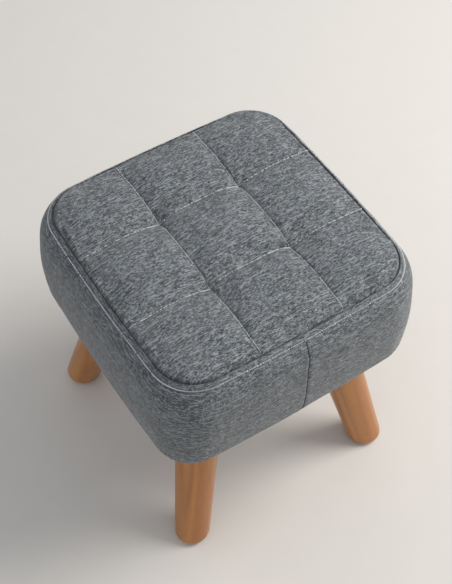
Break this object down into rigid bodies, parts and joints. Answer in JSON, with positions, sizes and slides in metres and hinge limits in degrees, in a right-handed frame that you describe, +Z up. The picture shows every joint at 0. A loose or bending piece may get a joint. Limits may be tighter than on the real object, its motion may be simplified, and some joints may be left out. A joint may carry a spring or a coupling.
{
  "type": "upholstered footstool",
  "caption": "Low square footstool with a quilted fabric seat box over foam and a wooden frame, on splayed, tapered round wooden legs.",
  "frame": {"origin": "on the floor, under the middle of the seat", "axes": "+Z up, -Y towards the side with the closing seam (front), -X to the left of the front"},
  "size_m": [0.297, 0.297, 0.318],
  "materials": {
    "cover_cloth": "matte heathered woven cloth",
    "foam": "open-cell foam, matte",
    "plywood": "raw plywood, matte",
    "softwood": "raw sawn softwood, matte",
    "beech": "clear satin lacquer",
    "felt": "dense felt, matte",
    "zinc_steel": "bright zinc plating",
    "twine": "waxed thread",
    "dust_cloth": "thin non-woven cloth, matte"
  },
  "bodies": {
    "root": {"top_panel": "cover_cloth", "side_band": "cover_cloth", "seat_foam": "foam", "foam_front": "foam", "foam_back": "foam", "foam_left": "foam", "foam_right": "foam", "base_board": "plywood", "top_board": "plywood", "rail_front": "softwood", "rail_back": "softwood", "rail_left": "softwood", "rail_right": "softwood", "leg_cleat_left": "softwood", "leg_cleat_right": "softwood", "corner_block_front_left": "softwood", "corner_block_front_right": "softwood", "corner_block_back_left": "softwood", "corner_block_back_right": "softwood", "leg_front_left": "beech", "foot_pad_front_left": "felt", "hanger_bolt_front_left": "zinc_steel", "t_nut_front_left": "zinc_steel", "leg_front_right": "beech", "foot_pad_front_right": "felt", "hanger_bolt_front_right": "zinc_steel", "t_nut_front_right": "zinc_steel", "leg_back_left": "beech", "foot_pad_back_left": "felt", "hanger_bolt_back_left": "zinc_steel", "t_nut_back_left": "zinc_steel", "leg_back_right": "beech", "foot_pad_back_right": "felt", "hanger_bolt_back_right": "zinc_steel", "t_nut_back_right": "zinc_steel", "dust_cover": "dust_cloth", "frame_screws": "zinc_steel", "tuft_twines": "twine", "tuft_washers": "zinc_steel"}
  },
  "joints": []
}
